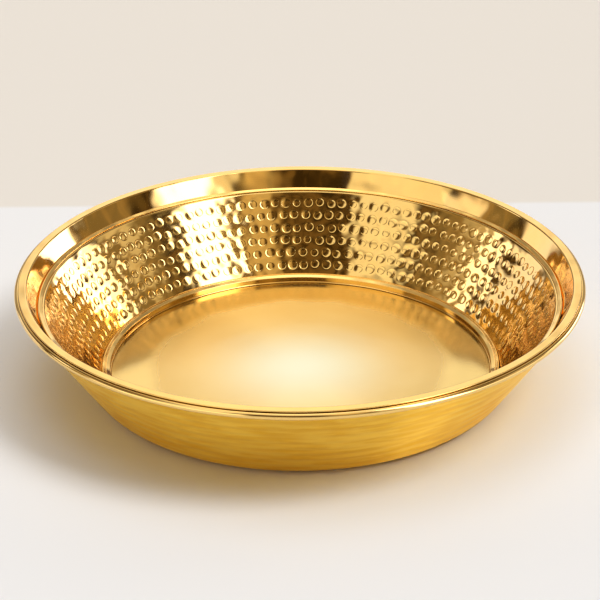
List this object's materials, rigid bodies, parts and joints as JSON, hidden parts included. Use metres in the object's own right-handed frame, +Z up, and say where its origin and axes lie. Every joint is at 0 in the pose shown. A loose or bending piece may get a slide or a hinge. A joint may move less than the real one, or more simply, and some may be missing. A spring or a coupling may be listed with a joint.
{
  "type": "dough kneading plate",
  "caption": "Round double-walled brass dish with a flat floor, a sloping hammered inner wall, a polished collar and a rolled rim, for kneading dough by hand.",
  "frame": {"origin": "centre of the base, on the surface that the plate stands on", "axes": "+Z up along the plate's axis; X and Y are alike because the plate is round"},
  "size_m": [0.4, 0.4, 0.0745],
  "materials": {
    "satin_brass": "satin",
    "spun_brass": "fine spun satin",
    "hammered_brass": "hammered and polished",
    "polished_brass": "polished",
    "drawn_steel": "drawn wire"
  },
  "bodies": {
    "root": {"outer_shell": "satin_brass", "floor_plate": "spun_brass", "hammered_wall": "hammered_brass", "floor_ring": "polished_brass", "shoulder_ring": "polished_brass", "rim_band": "polished_brass", "rim_wire": "drawn_steel"}
  },
  "joints": []
}
